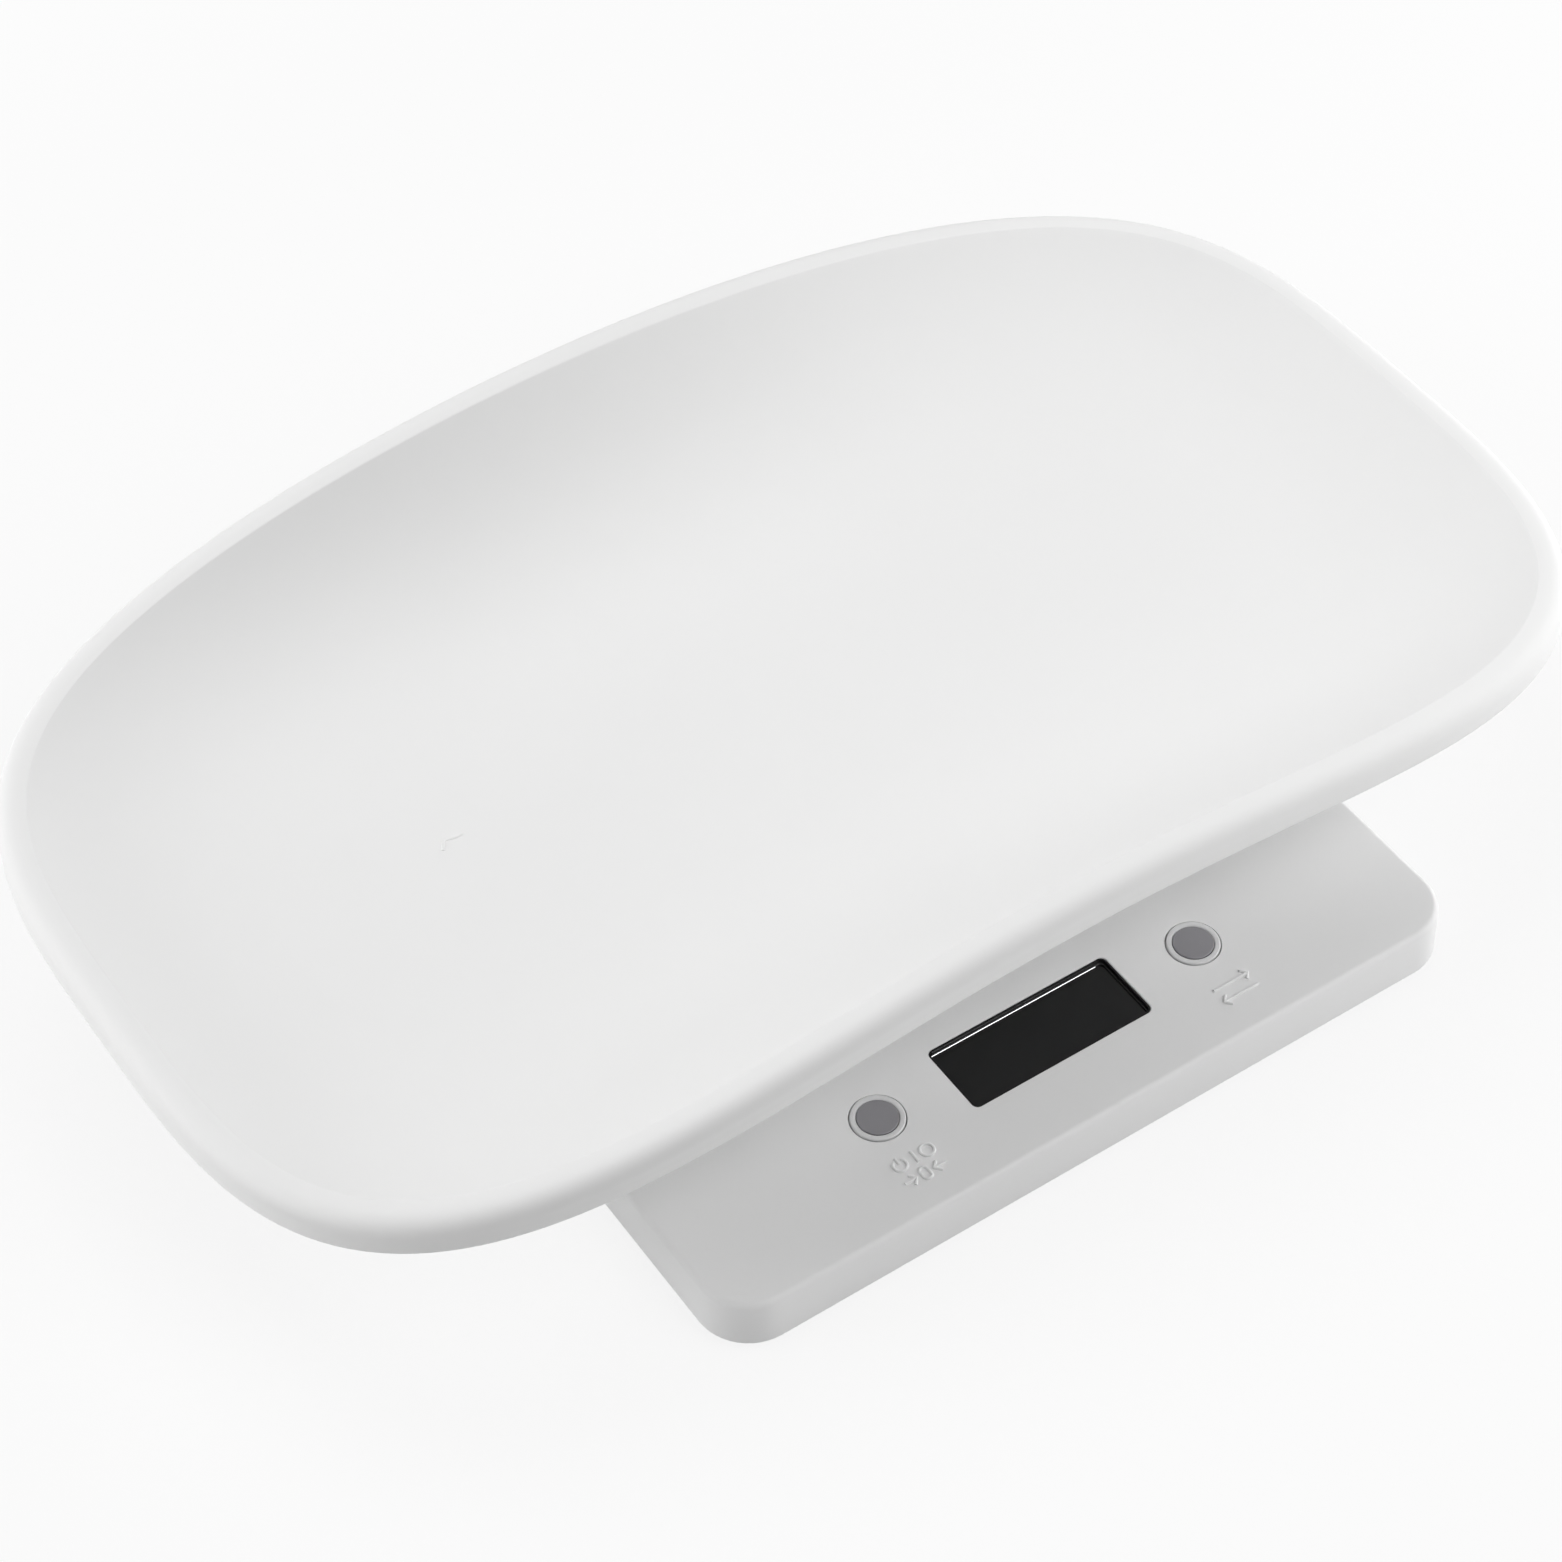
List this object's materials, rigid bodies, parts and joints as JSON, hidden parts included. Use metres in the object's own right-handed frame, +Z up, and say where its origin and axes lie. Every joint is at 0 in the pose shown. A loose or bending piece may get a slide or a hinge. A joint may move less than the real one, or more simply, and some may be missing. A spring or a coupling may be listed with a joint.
{
  "type": "digital pet scale",
  "caption": "Digital scale for small pets: a flat base with a display and press buttons, and a shallow saddle-shaped tray that lifts off a platform on a load cell.",
  "frame": {"origin": "on the ground, under the middle of the whole scale's outline seen from above", "axes": "+Z up, out of the tray; +X along the tray's length; the display and the buttons are on the -Y side and face up, so -Y is the front"},
  "size_m": [0.34, 0.2134, 0.067],
  "materials": {
    "tray_plastic": "satin moulded white",
    "case_plastic": "fine satin white",
    "button_white": "smooth white",
    "button_grey": "soft grey",
    "window_black": "gloss black",
    "lcd_glass": "dark liquid crystal panel",
    "rubber_strip": "striped conductive rubber",
    "foot_rubber": "matt grey",
    "cell_aluminium": "milled",
    "bracket_steel": "zinc plated",
    "screw_steel": "zinc plated",
    "contact_steel": "nickel plated",
    "coating": "white silicone",
    "board_green": "solder mask",
    "resin_black": "cured resin",
    "switch_black": "moulded",
    "battery_case": "plain wrap",
    "wire_cover": "smooth insulation"
  },
  "bodies": {
    "base": {"load_cell": "cell_aluminium", "gauge_coating": "coating", "cell_spacer": "bracket_steel", "cell_screws": "screw_steel", "base_top": "case_plastic", "base_bottom": "case_plastic", "case_screws": "screw_steel", "foot_front_left": "foot_rubber", "foot_front_right": "foot_rubber", "foot_rear_left": "foot_rubber", "foot_rear_right": "foot_rubber", "battery_front": "battery_case", "battery_rear": "battery_case", "contact_plates": "contact_steel", "contact_springs": "contact_steel", "circuit_board": "board_green", "board_screws": "screw_steel", "controller_chip": "resin_black", "display_window": "window_black", "lcd_panel": "lcd_glass", "lcd_frame": "case_plastic", "contact_strip": "rubber_strip", "switch_body_left": "switch_black", "switch_body_right": "switch_black", "load_cell_wires": "wire_cover", "battery_wires": "wire_cover"},
    "platform": {"platform": "case_plastic", "platform_bracket": "bracket_steel", "platform_screws": "screw_steel"},
    "tray": {"tray": "tray_plastic"},
    "button_left": {"button_cap_left": "button_white", "button_inlay_left": "button_grey", "switch_plunger_left": "switch_black"},
    "button_right": {"button_cap_right": "button_white", "button_inlay_right": "button_grey", "switch_plunger_right": "switch_black"},
    "battery_door": {"battery_door": "case_plastic"}
  },
  "joints": [
    {"name": "platform_press", "type": "slide", "parent": "base", "child": "platform", "axis": [0, 0, -1], "range_m": [0, 0.0005], "stiffness_N_per_m": 200000, "deforming": ["load_cell"]},
    {"name": "tray_lift", "type": "slide", "parent": "platform", "child": "tray", "axis": [0, 0, 1], "range_m": [0, 0.06]},
    {"name": "button_left_press", "type": "slide", "parent": "base", "child": "button_left", "axis": [0, 0, -1], "range_m": [0, 0.0005], "stiffness_N_per_m": 300},
    {"name": "button_right_press", "type": "slide", "parent": "base", "child": "button_right", "axis": [0, 0, -1], "range_m": [0, 0.0005], "stiffness_N_per_m": 300},
    {"name": "battery_door_hinge", "type": "hinge", "parent": "base", "child": "battery_door", "pos_m": [0, 0.0451, 0.0022], "axis": [1, 0, 0], "range_deg": [0, 90]}
  ]
}
